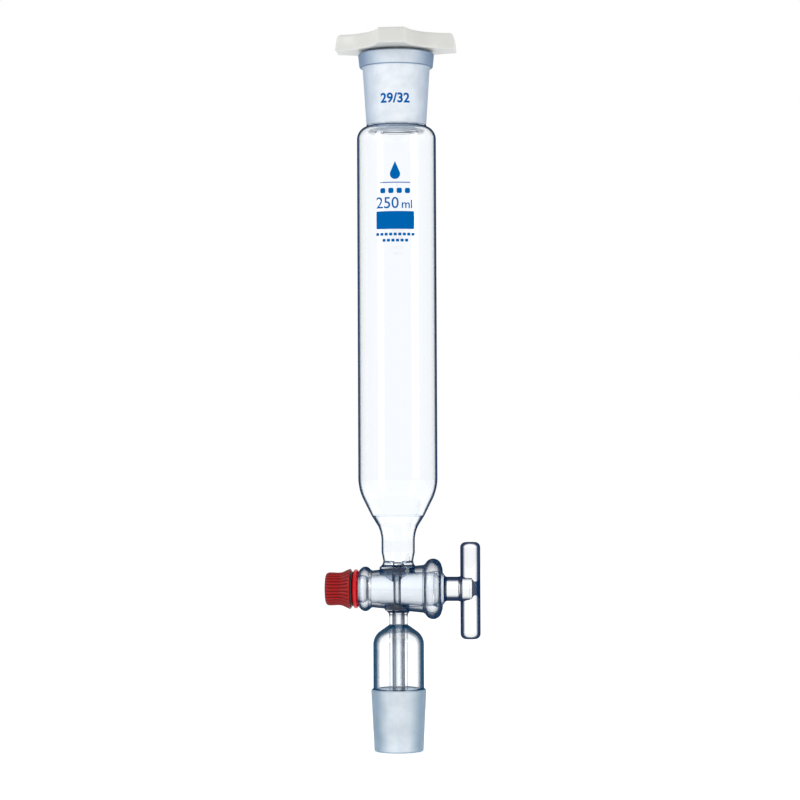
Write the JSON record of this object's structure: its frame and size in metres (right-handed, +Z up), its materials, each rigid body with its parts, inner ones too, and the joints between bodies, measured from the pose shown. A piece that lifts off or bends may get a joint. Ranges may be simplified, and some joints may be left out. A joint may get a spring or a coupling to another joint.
{
  "type": "dropping funnel",
  "caption": "Cylindrical glass dropping funnel with a ground socket, a stopcock with a T-handle key, a jacketed drip stem with a ground cone, and a star-head plastic stopper.",
  "frame": {"origin": "on the funnel's axis at the gauge plane of the lower ground cone, which is the cone's widest ground diameter and the plane of a flask's socket mouth", "axes": "+Z up the funnel's axis; the stopcock key lies along X with its handle towards +X; -Y is the printed front"},
  "size_m": [0.0821, 0.064, 0.3798],
  "materials": {
    "clear_glass": "clear borosilicate, flame-polished",
    "ground_glass": "borosilicate, ground",
    "red_plastic": "moulded, semi-gloss",
    "black_rubber": "matte",
    "polythene": "natural polythene, waxy",
    "disc_red": "satin"
  },
  "bodies": {
    "funnel": {"socket": "ground_glass", "reservoir": "clear_glass", "neck": "clear_glass", "barrel": "clear_glass", "drip_stem": "clear_glass", "cone_joint": "ground_glass"},
    "key": {"key_plug": "ground_glass", "key_handle": "clear_glass"},
    "retainer_rings": {"thrust_washer": "red_plastic", "o_ring": "black_rubber"},
    "retaining_cap": {"retaining_cap": "red_plastic"},
    "stopper": {"stopper_body": "polythene", "stopper_disc": "disc_red"}
  },
  "joints": [
    {"name": "key_turn", "type": "hinge", "parent": "funnel", "child": "key", "pos_m": [0, 0, 0.0536], "axis": [1, 0, 0], "continuous": true},
    {"name": "cap_unscrew", "type": "slide", "parent": "key", "child": "retainer_rings", "axis": [-1, 0, 0], "range_m": [0, 0.00813]},
    {"name": "cap_turn", "type": "hinge", "parent": "retainer_rings", "child": "retaining_cap", "pos_m": [-0.03, 0, 0.0536], "axis": [-1, 0, 0], "range_deg": [0, 1171]},
    {"name": "stopper_lift", "type": "slide", "parent": "funnel", "child": "stopper", "axis": [0, 0, 1], "range_m": [0, 0.08]}
  ],
  "couplings": [
    {"joint": "cap_turn", "follows": "cap_unscrew", "rad_per_m": 2513.3}
  ]
}
